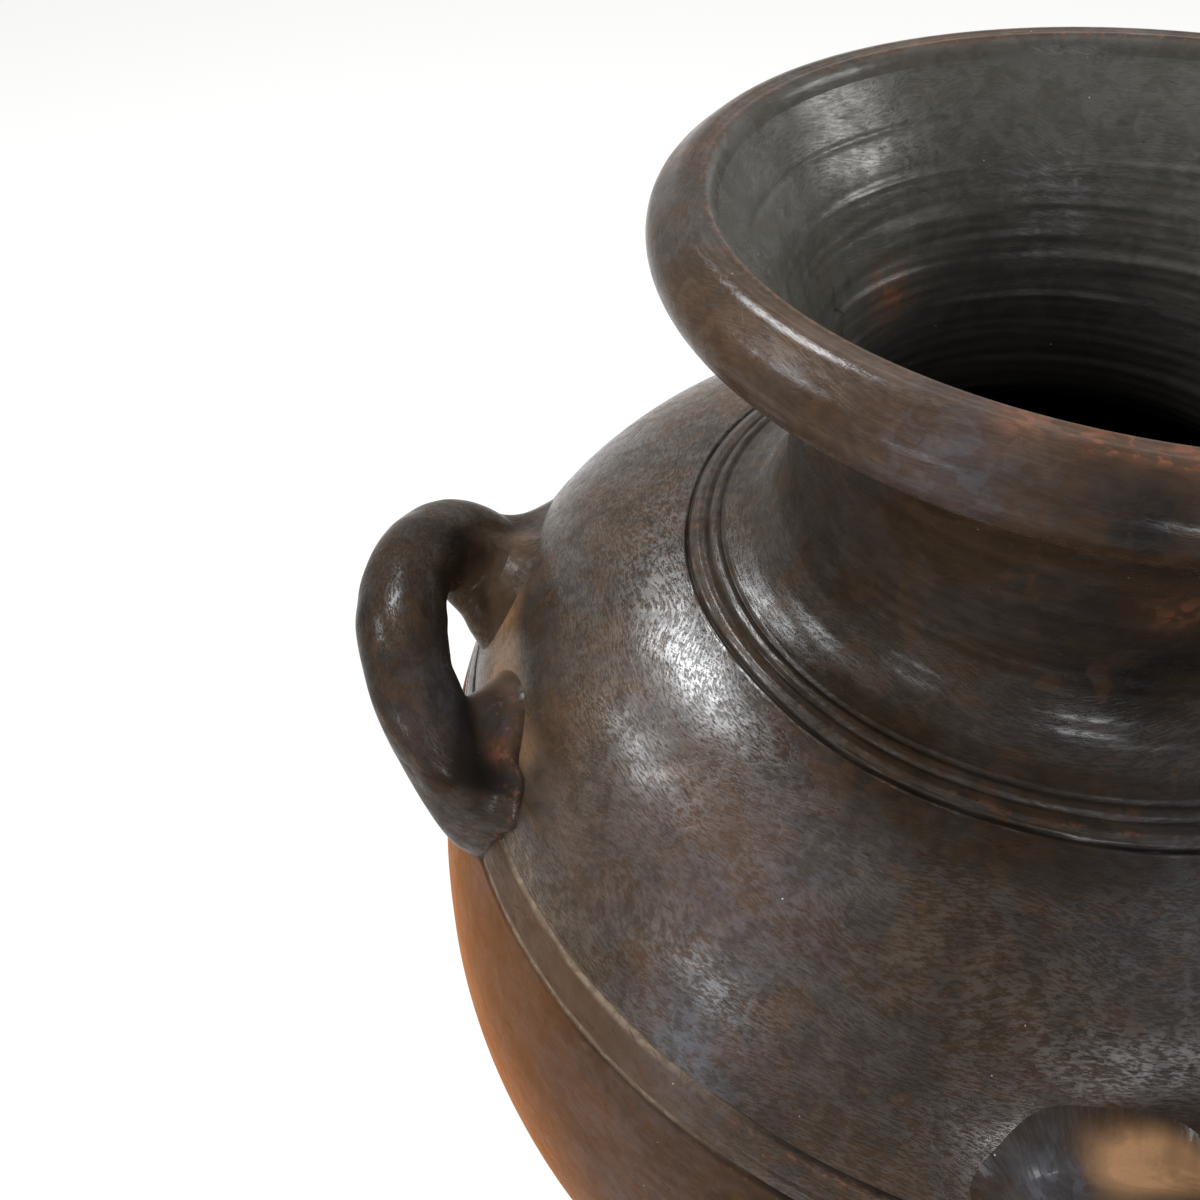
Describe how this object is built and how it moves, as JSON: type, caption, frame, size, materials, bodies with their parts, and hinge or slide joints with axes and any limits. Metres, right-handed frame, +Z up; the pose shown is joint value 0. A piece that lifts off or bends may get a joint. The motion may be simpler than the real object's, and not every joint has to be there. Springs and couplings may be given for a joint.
{
  "type": "earthenware urn",
  "caption": "Round-bellied burnished earthenware urn with a flared neck, rolled rim, incised rings and loop handles on its shoulder.",
  "frame": {"origin": "centre of the flat base, on the surface that the urn stands on", "axes": "+Z up along the axis on which the urn was turned; one handle each towards -X, -Y, +X and +Y"},
  "size_m": [0.4254, 0.4254, 0.45],
  "materials": {
    "burnished_clay": "burnished and smoked, dark brown black, soft shine",
    "handle_clay": "hand-smoothed and smoked, dark brown, soft shine",
    "wad_clay": "finger-smoothed, lighter brown, matt",
    "base_clay": "plain smoked clay, matt, worn at the edge"
  },
  "bodies": {
    "root": {"base": "base_clay", "lower_body": "burnished_clay", "shoulder": "burnished_clay", "neck": "burnished_clay", "rim": "burnished_clay", "handle_left": "handle_clay", "handle_front": "handle_clay", "handle_right": "handle_clay", "handle_back": "handle_clay", "handle_left_wad_a": "wad_clay", "handle_left_wad_b": "wad_clay", "handle_front_wad_a": "wad_clay", "handle_front_wad_b": "wad_clay", "handle_right_wad_a": "wad_clay", "handle_right_wad_b": "wad_clay", "handle_back_wad_a": "wad_clay", "handle_back_wad_b": "wad_clay"}
  },
  "joints": []
}
